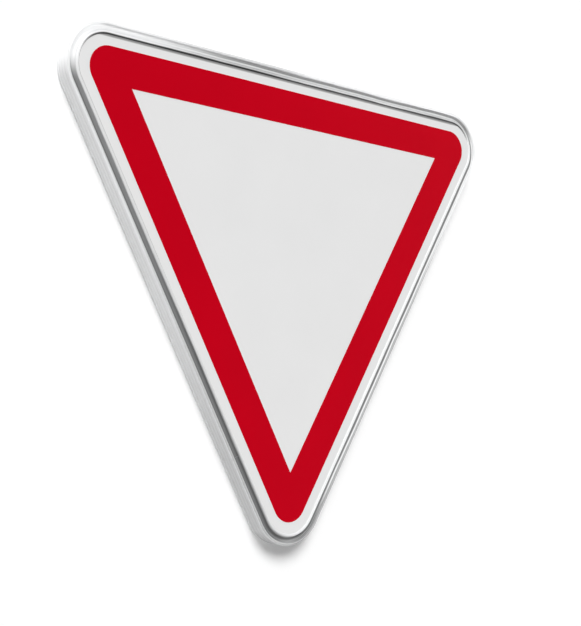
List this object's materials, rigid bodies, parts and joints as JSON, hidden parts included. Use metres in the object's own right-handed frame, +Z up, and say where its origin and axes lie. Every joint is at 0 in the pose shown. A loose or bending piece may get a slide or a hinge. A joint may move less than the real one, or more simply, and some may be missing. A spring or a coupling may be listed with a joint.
{
  "type": "give way sign",
  "caption": "Triangular road sign, point down: white face with a red border on a sheet plate, held in a fluted aluminium edge profile.",
  "frame": {"origin": "in the rear plane of the edge profile, at the middle of the land along the upper side", "axes": "+Z up, face towards -Y, +X to the right of someone who looks at the face; +Y is the outward normal of the rear land"},
  "size_m": [0.9002, 0.0316, 0.7984],
  "materials": {
    "plate_metal": "mill-finished sheet, matt",
    "white_sheeting": "reflective sheeting, slightly glossy",
    "red_overlay": "translucent red overlay film, slightly glossy",
    "profile_metal": "extruded and bent, satin",
    "connector_metal": "plain extruded",
    "rivet_metal": "plain"
  },
  "bodies": {
    "root": {"sign_plate": "plate_metal", "white_reflective_film": "white_sheeting", "red_border_film": "red_overlay", "edge_profile": "profile_metal", "joint_connector": "connector_metal", "connector_rivets": "rivet_metal"}
  },
  "joints": []
}
